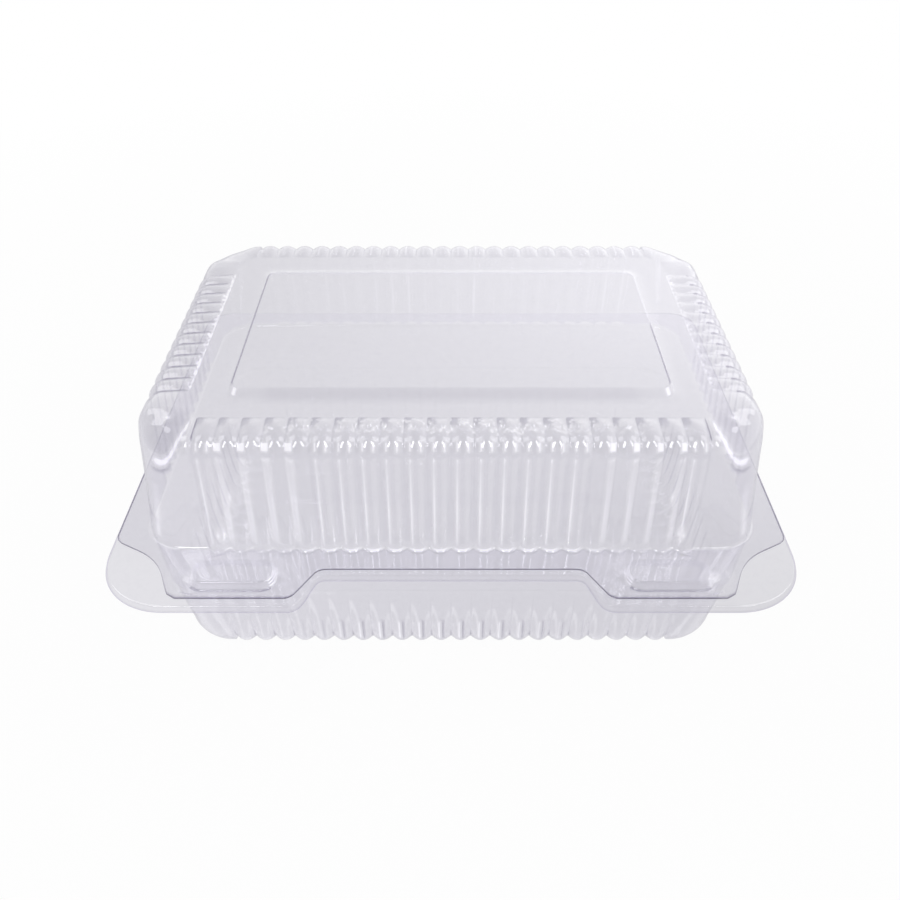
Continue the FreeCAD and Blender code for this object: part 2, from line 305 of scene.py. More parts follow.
class Plan:
    """The samples once round a bowl, counter-clockwise from the front left: each side has a margin, its
    flutes, a second margin and the corner that leads to the next side."""

    def __init__(self):
        """Lays out the four sides, then each sample's plan normal, its share in a corner and its nearness
        to a valley."""
        columns = []
        sides = [(1, 0, long_run), (0, 1, short_run), (-1, 0, long_run), (0, -1, short_run)]
        margin_in, margin_out = -MARGIN_SHARES[:0:-1], MARGIN_SHARES[:-1]
        turns = np.arange(CORNER_SAMPLES) / CORNER_SAMPLES * np.pi / 2
        for along_x, along_y, run in sides:
            flutes = round(2 * run / FLUTE_PITCH)
            shares = np.tile(flute_shares(), flutes)
            number = np.repeat(np.arange(flutes), FLUTE_SAMPLES)
            ends = (len(margin_in), len(margin_out) + CORNER_SAMPLES)
            along = np.pad((number + shares) * FLUTE_PITCH - run, ends, constant_values=(-run, run))
            margin = np.concatenate([margin_in, np.zeros(len(shares)), margin_out, np.ones(CORNER_SAMPLES)])
            turn = np.pad(turns, (len(along) - CORNER_SAMPLES, 0))
            bulge = np.pad(flute_bulge(shares), ends)
            flute = np.pad(number, ends, constant_values=-1)
            step = np.pad(np.tile(np.arange(FLUTE_SAMPLES), flutes), ends, constant_values=-1)
            fixed = [np.full(len(along), float(v)) for v in (along_x, along_y, run)]
            columns.append([along, margin, turn, bulge, *fixed, flute, step])
        names = "along margin turn bulge ax ay run flute step"
        for name, values in zip(names.split(), np.concatenate(columns, axis=1)):
            setattr(self, name, values)
        self.ox, self.oy = self.ay, -self.ax
        self.side = np.repeat(np.arange(4), [len(c[0]) for c in columns])
        self.nx = self.ox * np.cos(self.turn) + self.ax * np.sin(self.turn)
        self.ny = self.oy * np.cos(self.turn) + self.ay * np.sin(self.turn)
        self.corner = smooth(np.abs(self.margin) / CORNER_ONSET)
        back = ((self.side == 1) | (self.side == 2)) & (self.turn > 0)
        self.roundness = smooth(np.sin(2 * self.turn)) * np.where(back, BACK_CORNER_DROP, 1.0)
        past = np.mod(self.along + self.run + FLUTE_PITCH / 2, FLUTE_PITCH) - FLUTE_PITCH / 2
        at_end = np.abs(np.abs(self.along) - self.run) < 0.1
        self.valley = np.where(self.margin == 0, bell(past, 0.0, CREASE_WIDTH), 0.0)
        self.valley *= np.where(at_end, END_VALLEY_SHARE, 1.0)
        self.end_valley = at_end * (self.margin == 0)

    def ring(self, half_x, half_y, corner):
        """Rounded rectangles, one row per level: a flute's sample stays at its place along the side, a
        margin's sample shares out the rest of the straight, and a corner's sample goes round a circle."""
        half_x, half_y, corner = (np.atleast_1d(v).astype(float)[:, None] for v in (half_x, half_y, corner))
        corner = np.minimum(corner, np.minimum(half_x - long_run, half_y - short_run) - CORNER_ROOM)
        long_side = self.ax != 0
        straight = np.where(long_side, half_x, half_y) - corner
        along = self.along + self.margin * (straight - self.run) + corner * np.sin(self.turn)
        out = np.where(long_side, half_y, half_x) - corner * (1 - np.cos(self.turn))
        return along * self.ax + out * self.ox, along * self.ay + out * self.oy

    def fitted_ring(self, low_x, high_x, low_y, high_y, corner):
        """A rounded rectangle of any size, its straights sampled as the top edge's straights are."""
        long_side = self.ax != 0
        own_half = np.where(long_side, high_x - low_x, high_y - low_y) / 2 - corner
        other_half = np.where(long_side, high_y - low_y, high_x - low_x) / 2
        reference = np.where(long_side, top_x, top_y) - TOP_CORNER
        share = (self.along + self.margin * (reference - self.run)) / reference
        along = share * own_half + corner * np.sin(self.turn)
        out = other_half - corner * (1 - np.cos(self.turn))
        x = (low_x + high_x) / 2 + along * self.ax + out * self.ox
        y = (low_y + high_y) / 2 + along * self.ay + out * self.oy
        return x, y


plan = Plan()


def rows(x, y, z):
    """Points shaped levels by samples by 3; each of x, y and z may vary with both or stay fixed."""
    x, y, z = np.broadcast_arrays(*(np.atleast_2d(v) for v in (x, y, z)))
    return np.stack([x, y, z], axis=-1).astype(float)


def bowl_rows(half_x, half_y, corner, z, relief, lift_out, lift_up, corner_share=0.0):
    """Levels of a fluted wall: the plan ring, moved out along its normal and up by the flutes' bulge."""
    x, y = plan.ring(half_x, half_y, corner)
    given = (relief, lift_out, lift_up, corner_share)
    relief, lift_out, lift_up, corner_share = (np.atleast_1d(v).astype(float)[:, None] for v in given)
    bulge = relief * (plan.bulge + corner_share * plan.corner)
    z = np.atleast_1d(z)
    z = z[:, None] if z.ndim == 1 else z
    return rows(x + bulge * lift_out * plan.nx, y + bulge * lift_out * plan.ny, z + bulge * lift_up)


def rounded_outline(corners, step=0.5):
    """A closed outline as points about step apart: straights between the corners (x, y, radius), each
    corner turned by an arc tangent to both its straights."""
    corners = np.array(corners, float)
    points = []
    for before, (x, y, radius), after in zip(np.roll(corners, 1, 0), corners, np.roll(corners, -1, 0)):
        here = np.array([x, y])
        back = (before[:2] - here) / np.linalg.norm(before[:2] - here)
        ahead = (after[:2] - here) / np.linalg.norm(after[:2] - here)
        half_angle = math.acos(float(back @ ahead)) / 2
        bisector = (back + ahead) / np.linalg.norm(back + ahead)
        centre = here + bisector * radius / math.sin(half_angle)
        start = here + back * radius / math.tan(half_angle) - centre
        end = here + ahead * radius / math.tan(half_angle) - centre
        swing = math.pi - 2 * half_angle
        t = np.linspace(0, 1, max(8, round(radius * swing / step)))[:, None]
        arc = (np.sin((1 - t) * swing) * start + np.sin(t * swing) * end) / math.sin(swing)
        points.append(centre + arc)
    return np.concatenate(points)


def matched_outline(corners):
    """The outline's point for each sample round the bowl: straight out from the sides, and in even steps
    of length round the corners. Also the outline's outward normal there. Two rounds of the outline are
    laid end to end, so that no side is cut."""
    points = rounded_outline(corners)
    start = np.argmax(np.where((points[:, 0] < 0) & (points[:, 1] <= 0), points[:, 1], -np.inf))
    points = np.roll(points, -start, axis=0)
    points = np.concatenate([points, points, points[:1]])
    length = np.concatenate([[0], np.cumsum(np.linalg.norm(np.diff(points, axis=0), axis=1))])
    angle = np.unwrap(np.arctan2(points[:, 1], points[:, 0])) + math.pi
    foot = plan.ring(mouth_x + FOOT_FILLET, mouth_y + FOOT_FILLET, MOUTH_CORNER + FOOT_FILLET)
    place = np.full(len(plan.side), np.nan)
    for side in range(4):
        near = np.abs(angle - (side + 1) * math.pi / 2) < OUTLINE_WINDOW
        mine = (plan.side == side) & (plan.turn == 0)
        axis = side % 2
        sign = 1 if side < 2 else -1
        place[mine] = np.interp(sign * foot[axis][0][mine], sign * points[near, axis], length[near])
    known = np.flatnonzero(~np.isnan(place))
    next_known = np.append(known, known[0] + len(place))
    next_place = np.append(place[known], place[known[0]] + length[-1] / 2)
    place = np.interp(np.arange(len(place)), next_known, next_place)
    xy = np.stack([np.interp(place, length, points[:, axis]) for axis in (0, 1)], axis=-1)
    along = np.roll(xy, -1, axis=0) - np.roll(xy, 1, axis=0)
    along /= np.linalg.norm(along, axis=1)[:, None]
    return xy, np.stack([along[:, 1], -along[:, 0]], axis=-1)


def lid_corners():
    """Corners of the lid's flange, counter-clockwise from the back right."""
    left = [(-flange_x, CUT_RISE + CUT_END - tab_reach, TAB_CORNER),
            (-TAB_X - TAB_HALF - CUT_RUN, CUT_RISE - tab_reach, CUT_RADIUS),
            (-TAB_X - TAB_HALF, -tab_reach, TAB_CORNER),
            (-TAB_X + TAB_HALF, -tab_reach, TAB_CORNER),
            (-TAB_X + TAB_HALF + TAB_SLANT, -recess_reach, TAB_CORNER)]
    right = [(-x, y, radius) for x, y, radius in reversed(left)]
    return [(flange_x, hinge_reach, BACK_CORNER), (-flange_x, hinge_reach, BACK_CORNER)] + left + right


def tub_corners():
    """Corners of the crease where the tub's flange turns down, counter-clockwise from the back right."""
    crease_x = flange_x + SIDE_SHOW
    tab_y = -tab_reach - FRONT_SHOW
    left = [(-crease_x, tab_y, PULL_CORNER),
            (-TAB_X + TUB_TAB_HALF, tab_y, TAB_CORNER),
            (-TAB_X + TUB_TAB_HALF + TUB_TAB_SLANT, -recess_reach - RECESS_SHOW, TAB_CORNER)]
    right = [(-x, y, radius) for x, y, radius in reversed(left)]
    return [(crease_x, hinge_reach, BACK_CORNER), (-crease_x, hinge_reach, BACK_CORNER)] + left + right


def closing_rows(edge, half_x, middle_y, z):
    """Flat rows inside a closed edge: two shrunken copies, and last the middle line that they close on."""
    line = edge.copy()
    line[..., 0] = np.clip(edge[..., 0], -half_x, half_x)
    line[..., 1] = middle_y
    line[..., 2] = z
    return mixed(edge, line, [0.008, 0.5, 1.0])


def flange_rows(outline, flange_z, relief, way):
    """A flange from its outline to the foot of the bowl, and the quarter round that leads up or down into
    the wall."""
    outline = rows(outline[:, 0], outline[:, 1], flange_z)
    spread = FOOT_FILLET * (1 - np.sin(FILLET_BEND))
    z = flange_z + way * FOOT_FILLET * (1 - np.cos(FILLET_BEND))
    fillet = bowl_rows(mouth_x + spread, mouth_y + spread, MOUTH_CORNER + spread, z, relief, 1.0, 0.0)
    return np.concatenate([mixed(outline, fillet[:1], FLANGE_SHARES), fillet[1:]])


def lid_rows():
    """The lid's outer skin, row by row: flange, foot fillet, fluted wall, shoulder and ledge, flat top,
    raised panel, and the panel's middle line."""
    flange_z = CONTACT_Z + SHEET
    flange = flange_rows(matched_outline(lid_corners())[0], flange_z, MOUTH_RELIEF, 1)
    # Wall: straight lines from the foot to where the shoulder starts, which is lower at the corners
    foot_z = flange_z + FOOT_FILLET
    share = WALL_SHARES
    ledge_z = TOP_Z - LEDGE_SINK
    egg = plan.roundness
    start_z = ledge_z - SHOULDER_RADIUS - egg * (CORNER_DROP - SHOULDER_RADIUS - LEDGE_SINK)
    wall = bowl_rows(mouth_x - WALL_DRAFT_X * share, mouth_y - WALL_DRAFT_Y * share,
                     MOUTH_CORNER + (SHOULDER_CORNER - MOUTH_CORNER) * share,
                     foot_z + share[:, None] * (start_z - foot_z),
                     MOUTH_RELIEF + (SHOULDER_RELIEF - MOUTH_RELIEF) * share, 1.0, 0.0,
                     CORNER_FULLNESS * share**2)
    # Shoulder and ledge: a quarter circle and a gentle rise on the sides, a quarter ellipse at the corners
    turn = np.radians(np.linspace(0, 90, 10)[1:])
    out_on_ledge = np.array([0.08, 0.25, 0.45, 0.62, 0.77, 0.88, 0.96, 1.0])
    around, across = len(turn), len(out_on_ledge)
    side_in = np.append(SHOULDER_RADIUS * (1 - np.cos(turn)), np.full(across, SHOULDER_RADIUS))
    side_ledge = np.append(np.zeros(around), out_on_ledge)
    side_z = ledge_z + np.append(SHOULDER_RADIUS * (np.sin(turn) - 1), LEDGE_SINK * out_on_ledge)
    lift_out = np.append(np.cos(turn), np.zeros(across))
    lift_up = np.append(np.sin(turn), np.ones(across))
    fade = np.append(np.ones(around), 1 - out_on_ledge**LEDGE_FADE)
    round_turn = np.linspace(0, np.pi / 2, SHOULDER_ROWS + 1)[1:]
    base_x, base_y = plan.ring(wall_x, wall_y, SHOULDER_CORNER)
    egg_share = egg[None, :]
    ledge_run = np.abs(plan.nx) * LEDGE_X + np.abs(plan.ny) * LEDGE_Y
    side_run = side_in[:, None] + side_ledge[:, None] * ledge_run
    egg_run = (SHOULDER_RADIUS + ledge_run) * (1 - np.cos(round_turn))[:, None]
    egg_z = TOP_Z - CORNER_DROP * (1 - np.sin(round_turn))[:, None]
    inward = side_run * (1 - egg_share) + egg_run * egg_share
    height = side_z[:, None] * (1 - egg_share) + egg_z * egg_share
    fullness = CORNER_FULLNESS * plan.corner * (1 - egg_share * ROUND_CORNER_LOSS)
    bulge = SHOULDER_RELIEF * fade[:, None] * (plan.bulge + fullness)
    reach = bulge * lift_out[:, None] - inward
    shoulder = rows(base_x + reach * plan.nx, base_y + reach * plan.ny, height + bulge * lift_up[:, None])
    # Flat top and raised panel
    x = top_x - PANEL_MARGIN_X
    y = top_y - PANEL_MARGIN_Y
    foot = rows(*plan.fitted_ring(-x - PANEL_SIDE_SLOPE, x + PANEL_SIDE_SLOPE, -y - PANEL_FRONT_SLOPE,
                                  y + PANEL_SIDE_SLOPE, PANEL_CORNER + PANEL_SIDE_SLOPE), TOP_Z)
    edge = rows(*plan.fitted_ring(-x, x, -y, y, PANEL_CORNER), TOP_Z + PANEL_RISE)
    top = mixed(shoulder[-1:], foot, [0.02, 0.05, 0.7, 1.0])
    climb = np.linspace(0, 1, 7)[1:]
    slope = mixed(foot, edge, climb)
    slope[..., 2] = TOP_Z + PANEL_RISE * smooth(climb)[:, None]
    closing = closing_rows(edge, x - y, 0.0, TOP_Z + PANEL_RISE)
    return np.concatenate([flange, wall, shoulder, top, slope, closing])


def tub_rows():
    """The tub's outer skin, row by row: lip, flange, plain band, fluted wall, rounded bottom edge, flat
    bottom, and the bottom's middle line."""
    flange_z = CONTACT_Z - SHEET - FLANGE_GAP
    outline, normal = matched_outline(tub_corners())
    # No lip along the hinge, where the sheet goes on into the lid
    lip = smooth((hinge_reach - outline[:, 1]) / BACK_CORNER)
    reach = column(1.0, 0.6, 0.25, 0.06) * (LIP_OUT - SHEET) * lip
    drop = column(1.0, 0.58, 0.2, 0.03) * LIP_DROP * lip
    x = outline[:, 0] + reach * normal[:, 0]
    y = outline[:, 1] + reach * normal[:, 1]
    turned = rows(x, y, flange_z - drop)
    flange = flange_rows(outline, flange_z, 0.0, -1)
    # Plain band, its shallow step, then the fluted wall
    band_z = CONTACT_Z - BAND_DEPTH
    foot_z = flange_z - FOOT_FILLET
    share = np.array([0.35, 0.7, 0.98, 1.0])
    band = bowl_rows(mouth_x - BAND_DRAFT * share, mouth_y - BAND_DRAFT * share, MOUTH_CORNER,
                     foot_z + (band_z - foot_z) * share, 0.0, 1.0, 0.0)
    low_z = BOTTOM_SINK + BOTTOM_RADIUS
    share = np.array([0.03, 0.08, 0.16, 0.25, 0.34, 0.43, 0.52, 0.64, 0.76, 0.88, 1.0])
    depth = (band_z - low_z) * share
    inward = BAND_DRAFT + BAND_STEP * smooth(depth / BAND_STEP_DEPTH) + (TUB_DRAFT - BAND_STEP) * share
    growth = smooth(depth / FLUTE_HEAD)
    notch = NOTCH_EXTRA * smooth((share - NOTCH_FROM) / (1 - NOTCH_FROM))
    wall = bowl_rows(mouth_x - inward - notch, mouth_y - inward - notch,
                     MOUTH_CORNER + (LOW_CORNER - MOUTH_CORNER) * share, band_z - depth,
                     TUB_RELIEF * growth + notch, 1.0, 0.0, CORNER_FULLNESS)
    turn = np.radians(np.linspace(0, 90, 11)[1:])
    notch = NOTCH_EXTRA * (1 - smooth(np.degrees(turn) / NOTCH_TURN))
    inward = BAND_DRAFT + TUB_DRAFT + BOTTOM_RADIUS * (1 - np.cos(turn)) + notch * np.cos(turn)
    fading = 1 - (1 - BOTTOM_SINK / TUB_RELIEF) * smooth((np.degrees(turn) - 45) / 45)
    bottom = bowl_rows(mouth_x - inward, mouth_y - inward, LOW_CORNER - BOTTOM_CORNER * (1 - np.cos(turn)),
                       BOTTOM_SINK + BOTTOM_RADIUS * (1 - np.sin(turn)) + notch * np.sin(turn),
                       TUB_RELIEF * fading + notch, np.cos(turn), -np.sin(turn), CORNER_FULLNESS)
    share = np.array([0.3, 0.6, 0.85, 1.0])
    inward = BAND_DRAFT + TUB_DRAFT + BOTTOM_RADIUS + BOTTOM_FLAT_WIDTH * share
    left = BOTTOM_SINK * (1 - smooth(share))
    rim = bowl_rows(mouth_x - inward, mouth_y - inward, LOW_CORNER - BOTTOM_CORNER, left, left, 0.0, -1.0,
                    CORNER_FULLNESS)
    flat_x = mouth_x - inward[-1]
    flat_y = mouth_y - inward[-1]
    closing = closing_rows(rim[-1:], flat_x - flat_y, 0.0, 0.0)
    return np.concatenate([turned, flange, band, wall, bottom, rim, closing])


def knob_edge(share, straight, half_out, corner, arc_share):
    """One side of a rounded rectangle, from the middle of one corner arc to the middle of the next: how
    far along and how far out each point is. Of the way, arc_share goes to each half arc."""
    start = np.clip(1 - share / arc_share, 0, 1) * np.pi / 4
    end = np.clip((share - 1 + arc_share) / arc_share, 0, 1) * np.pi / 4
    middle = np.clip((share - arc_share) / (1 - 2 * arc_share), 0, 1) * 2 - 1
    along = middle * straight - corner * np.sin(start) + corner * np.sin(end)
    out = half_out - corner * (1 - np.cos(start + end))
    return along, out


def knob_ring(centre, half_x, half_y, corner, across, up, z):
    """A rounded rectangle with across samples on each long side and up samples on each short one."""
    long_share = np.arange(across) / across
    short_share = np.arange(up) / up
    a, b = knob_edge(long_share, half_x - corner, half_y, corner, ARC_SHARE_ACROSS)
    c, d = knob_edge(short_share, half_y - corner, half_x, corner, ARC_SHARE_UP)
    x = np.concatenate([a, d, -a, -d])
    y = np.concatenate([-b, c, b, -c])
    return rows(centre[0] + x, centre[1] + y, z)


def knob_rows(loop, side, across, up, base_z, growth, height):
    """A snap knob inside a loop of the flange: the pad's edge, its flat with the two nubs, the knob's
    slope and the knob's flat top, closed on its middle line."""
    centre = (side * TAB_X, KNOB_FROM_TAB_EDGE - tab_reach)

    def ring(half_x, half_y, corner, z):
        """A rounded rectangle about this knob's centre."""
        return knob_ring(centre, half_x, half_y, corner, across, up, z)

    pad_foot = ring(PAD_HALF_X, PAD_HALF_Y, PAD_HALF_Y - PAD_CORNER_TRIM, base_z)
    pad_half_y = PAD_HALF_Y - PAD_EDGE
    pad_top = ring(PAD_HALF_X - PAD_EDGE, pad_half_y, pad_half_y - PAD_CORNER_TRIM, base_z + PAD_RISE)
    climb = np.linspace(0, 1, 5)[1:]
    edge = mixed(pad_foot, pad_top, climb)
    edge[..., 2] = base_z + PAD_RISE * smooth(climb)[:, None]
    half_x = KNOB_LENGTH / 2 + growth
    half_y = KNOB_WIDTH / 2 + growth
    corner = KNOB_CORNER + growth
    foot = ring(half_x, half_y, corner, base_z + PAD_RISE)
    flat = mixed(pad_top, foot, np.linspace(0, 1, 9)[1:])
    past_knob = np.abs(flat[..., 0] - centre[0]) - half_x - NUB_FROM_KNOB
    away = np.hypot(past_knob, flat[..., 1] - centre[1]) / NUB_RADIUS
    flat[..., 2] += NUB_RISE * np.maximum(1 - away**2, 0.0) ** 1.5
    top_x_half, top_y_half = half_x - KNOB_SLOPE, half_y - KNOB_SLOPE
    crown = ring(top_x_half, top_y_half, corner - KNOB_SLOPE, base_z + height)
    climb = np.linspace(0, 1, 9)[1:]
    slope = mixed(flat[-1:], crown, climb)
    raised = smooth(climb)[:, None]
    slope[..., 2] = flat[-1:, :, 2] * (1 - raised) + (base_z + height) * raised
    line = crown.copy()
    reach = top_x_half - top_y_half
    line[..., 0] = centre[0] + np.clip(crown[..., 0] - centre[0], -reach, reach)
    line[..., 1] = centre[1]
    return np.concatenate([loop, mixed(loop, pad_foot, [0.5, 0.9, 1.0]), edge, flat, slope,
                           mixed(crown, line, [0.08, 0.5, 1.0])])


def quads(index):
    """Quads between the neighbours in a table of point numbers, whose last column meets the first."""
    ahead = np.roll(index, -1, axis=1)
    return np.stack([index[:-1], ahead[:-1], ahead[1:], index[1:]], axis=-1)


def sheet_skin(skin, lines, first_flange_row, growth, height):
    """Points, faces and painted light of a skin with two knobs set into its flange, in place of a block
    of quads."""
    levels, samples = skin.shape[:2]
    index = np.arange(levels * samples).reshape(levels, samples)
    faces = quads(index)
    keep = np.ones((levels - 1, samples), bool)
    low = first_flange_row + KNOB_FIRST_ROW
    high = first_flange_row + KNOB_LAST_ROW
    points = [skin.reshape(-1, 3)]
    painted_marks = [lines.reshape(-1)]
    parts = []
    total = levels * samples
    foot = skin[high]
    # The samples counted from before the front left corner on, so that those of a knob follow each other
    order = np.roll(np.arange(samples), samples // 8)
    at_front = foot[order, 1] < FRONT_WITHIN - mouth_y
    for side in (-1, 1):
        reach = side * foot[order, 0]
        block = order[at_front & (reach > KNOB_STRETCH[0]) & (reach < KNOB_STRETCH[1])]
        across = len(block) - 1
        up = high - low
        keep[low:high, block[:-1]] = False
        loop = np.concatenate([index[low, block[:-1]], index[low:high, block[-1]],
                               index[high, block[:0:-1]], index[high:low:-1, block[0]]])
        base_z = skin[low, block[0], 2]
        patch = knob_rows(points[0][loop][None], side, across, up, base_z, growth, height)
        inner = total + np.arange((len(patch) - 1) * patch.shape[1]).reshape(len(patch) - 1, -1)
        parts.append(quads(np.concatenate([loop[None], inner])).reshape(-1, 4))
        points.append(patch[1:].reshape(-1, 3))
        painted_marks.append(knob_painted_light(across, up))
        total += inner.size
    return np.concatenate(points), np.concatenate([faces[keep]] + parts), np.concatenate(painted_marks)


# The painted light of the skins. Their numbers are how much painted shade darkens each row or spot, or with
# a minus how much a painted highlight brightens it.
def on_sides(*numbers):
    """1 on the samples of the given sides and of the corners after them, and 0 elsewhere."""
    return np.isin(plan.side, numbers) * 1.0


def open_edge():
    """1 where the flanges have a free edge, and 0 along the hinge, where the sheet goes on."""
    edge = np.where((plan.side == 2) & (plan.turn == 0), 0.0, 1.0)
    return edge * (1 - on_sides(2) * smooth(1 - 3 * plan.turn / np.pi))


def front_band():
    """1 over the middle of the front, and 0 near its ends."""
    return on_sides(0) * (1 - smooth((np.abs(plan.along) / plan.run - 0.84) / 0.1))


def round_corner_painted_light():
    """Painted light on the lid's round front corners, for the wall's seven top rows and the shoulder's: a
    painted highlight in a crescent that climbs with the cube of the angle, a painted dark line under it,
    painted shade inside it and a painted glint. Then a painted sheen near the foot, for the wall's six
    lowest rows. Levels below 0 are the wall's rows, in the shoulder's steps."""
    levels = np.append([-7.3, -5.3, -4.3, -3.4, -2.5, -1.8, -1.0], np.arange(SHOULDER_ROWS))[:, None]
    angle = np.where(plan.side == 3, np.degrees(plan.turn), 90 - np.degrees(plan.turn))
    round_part = on_sides(0, 3) * (plan.turn > 0)
    lowest = 0.8 + 11 * np.maximum((angle - 55) / 33, 0.0) ** 3
    crescent = round_part * smooth((angle - 42) / 12)
    lines = -1.3 * crescent * bell(levels, lowest, 1.2 + 2.2 * smooth((angle - 70) / 14))
    lines += 0.35 * crescent * bell(levels, lowest - 2.2, 0.7)
    inside = round_part * smooth((angle - 12) / 25)
    lines += 0.1 * inside * smooth((levels - lowest - 1.0) / 2) * (1 - smooth((levels - 12) / 4))
    in_corner = smooth(plan.roundness * on_sides(0, 3) * 3)
    lines -= 1.4 * in_corner * bell(levels, 11, 0.8) * bell(angle, 28, 5)
    shine = column(0.75, 0.8, 0.72, 0.62, 0.55, 0.45) * round_part * bell(angle, 50, 9)
    return lines, shine


def panel_painted_light():
    """Painted light on the panel's slope, for its six rows: painted dark lines at the sides and the back, a
    painted highlight in the further half of the right side, a soft band of painted shade along the front
    and a painted glint at the front corners."""
    beside = np.where(plan.side == 3, 1 - smooth(plan.turn / 0.6), 1.0)
    beside = np.where(plan.side == 0, smooth((plan.turn - 0.97) / 0.6), beside)
    beside *= 1 - 2 * on_sides(1) * smooth((plan.along + 5) / 15)
    slope = np.linspace(0.05, 0.04, 6)[:, None] * front_band()
    slope[-1] += np.where(plan.side == 2, 0.3 + 0.7 * (plan.turn > 0.8), 1.0) * beside
    slope[-2] += 0.45 * beside * on_sides(1, 3)
    turned = np.where(plan.side == 3, plan.turn, np.pi / 2 - plan.turn)
    slope[1:5] -= bell(turned, 1.0, 0.3) * on_sides(0, 3) * (plan.turn > 0)
    return slope


def lid_painted_light():
    """The painted light on each point of the lid's skin: above 0 painted shade, as a dark line along the
    cut edge, a valley or the panel's outline, and below 0 a painted highlight, as on the flank of a
    flute."""
    chance = np.random.default_rng(5)
    samples = len(plan.along)
    front, back, flank = on_sides(0), on_sides(2), on_sides(1, 3)
    on_flute = (plan.step >= 0) * 1.0
    from_end = np.where(plan.along < 0, plan.flute, LONG_FLUTES - 1 - plan.flute)
    own_step = np.where(plan.along < 0, plan.step, FLUTE_SAMPLES - plan.step)
    # Painted highlights on the flanks of the flutes: a thin line on each flute, a wide one near the front's
    # ends, and streaks of random strength on the back
    near_end = (from_end >= 1) & (from_end <= 4)
    broad_highlight = front * on_flute * near_end * (own_step <= 3)
    middle = front * ~near_end
    thin = ((plan.step == 3) + 0.45 * (plan.step == 6)) * middle
    highlight_pair = ((plan.step == 3) + 1.0 * (plan.step == 6)) * middle
    uneven = 0.35 + 0.6 * chance.random(LONG_FLUTES)[np.maximum(plan.flute, 0).astype(int) % LONG_FLUTES]
    behind = uneven * (plan.step == 5) * back
    # Flange under painted shade, with a painted dark line along its cut edge, and on the foot a painted
    # dark line and a painted highlight, strongest in the middle of the front
    flange = np.full((len(FLANGE_SHARES), samples), FLANGE_SHADE)
    flange[:2] = column(0.8, 0.25) * open_edge()
    foot = front * (0.3 + 0.7 * np.exp(-((plan.along / 58.0) ** 8)))
    flange[-1] = 0.2 * foot
    fillet = column(0.0, -0.95, -1.0, -0.4) * plan.bulge**0.5 * foot
    # Wall: painted dark valleys, painted highlight streaks, a faint painted shade over the front flutes,
    # and two pairs of painted glints near the ends of the front
    highlight_streaks = column(0.75, 0.85, 0.9, 0.9, 0.85, 0.75, 0.7, 0.65, 0.6, 0.6, 0.7, 0.8)
    wall = 0.03 * plan.valley - highlight_streaks * (thin + 0.75 * broad_highlight + 0.8 * behind)
    wall += 0.03 * front * on_flute
    wall[4] -= 0.85 * front * (from_end == 1) * (own_step == 4)
    wall[1] -= 0.85 * front * (from_end == 0) * ((own_step == 5) | (own_step == 7))
    # Shoulder and ledge: painted dark valleys on the flanks, of which the right one's are dark in their
    # outer half only and painted bright in the inner one, and where the front turns over, painted
    # reflections of the lamps
    over = column(0.1, 0.35, 0.6, 0.8, 0.9, 0.95, 0.95, 0.95, 0.9, 0.9, 0.85, 0.8, 0.75, 0.7, 0.6, 0.5, 0.1)
    shoulder = over * plan.valley * (flank + 0.1 * back + 0.05 * front)
    shoulder += 0.05 * front * on_flute
    shoulder[6:] += 0.7 * over[6:] * front * plan.end_valley
    shoulder[9:] -= 1.5 * over[9:] * plan.valley * on_sides(1)
    shoulder[2:5] -= broad_highlight + 0.95 * highlight_pair
    shoulder[5:14] -= 0.75 * behind
    round_corner, shine = round_corner_painted_light()
    wall[-7:] += round_corner[:7]
    wall[:6] -= shine
    shoulder += round_corner[7:]
    # Painted shade in short patches where the front flutes end at the top, and painted glints scattered
    # between them
    patch = front * on_flute * (plan.step <= 3)
    inner = column(0.05, 0.14, 0.18, 0.2, 0.2, 0.2)
    shoulder[11:] += inner * (patch - 0.35 * front * (plan.step >= 5))
    painted_glints = chance.random(shoulder.shape) < 0.2
    shoulder[8:16] -= 0.85 * painted_glints[8:16] * front * on_flute * np.exp(-((plan.along / 55.0) ** 4))
    shoulder[-1] += 0.35 * front * (plan.step >= 1) * (plan.step <= 6)
    # A painted highlight, broken at random, where the flutes of the flanks end
    ragged_highlight = flank * on_flute * (0.45 + 0.75 * chance.random(samples)) * np.where(plan.side == 1, 0.6, 1.0)
    shoulder[-1] -= 1.1 * ragged_highlight
    shoulder[-2] -= 1.2 * ragged_highlight * (chance.random(samples) < 0.6)
    shoulder[-3] -= 1.2 * ragged_highlight * (chance.random(samples) < 0.35)
    top = np.zeros((4, samples))
    top[0] = 0.2 * patch - ragged_highlight
    top[3] = 0.05 * front_band()
    closing = np.zeros((3, samples))
    return np.concatenate([flange, fillet, wall, shoulder, top, panel_painted_light(), closing])


def tub_painted_light():
    """The same for the tub's skin: painted dark lines along the lip's edge and the sharp notches between
    the flutes' rounds, and on each round a short painted highlight and dark stroke where it turns under,
    or towards the ends of the front a painted bright bead."""
    front = on_sides(0)
    lip = column(0.12, 0.0, 0.0, 0.0) * open_edge()
    flange_and_fillet = np.zeros((len(FLANGE_SHARES) + 4, len(plan.along)))
    band = column(0.0, 0.0, 0.0, 0.04) * np.ones(len(plan.along))
    wall = np.linspace(0.0, 0.06, 11)[:, None] * plan.valley
    bottom = column(0.2, 0.3, 0.4, 0.4, 0.35, 0.25, 0.15, 0.08, 0.04, 0.0) * plan.valley
    bottom *= np.where(plan.side == 0, 1.0, 0.12)
    middle = front * (plan.step >= 0) * np.exp(-((plan.along / 52.0) ** 6))
    stroke = (0.3 * (plan.step == 5) - 0.85 * (plan.step == 4)) * middle
    wall[-3:] += stroke
    bottom[:2] += stroke
    bottom[2:5] -= 0.8 * front * (plan.step >= 3) * (plan.step <= 6) * (1 - 0.6 * middle)
    rest = np.zeros((7, len(plan.along)))
    return np.concatenate([lip, flange_and_fillet, band, wall, bottom, rest])


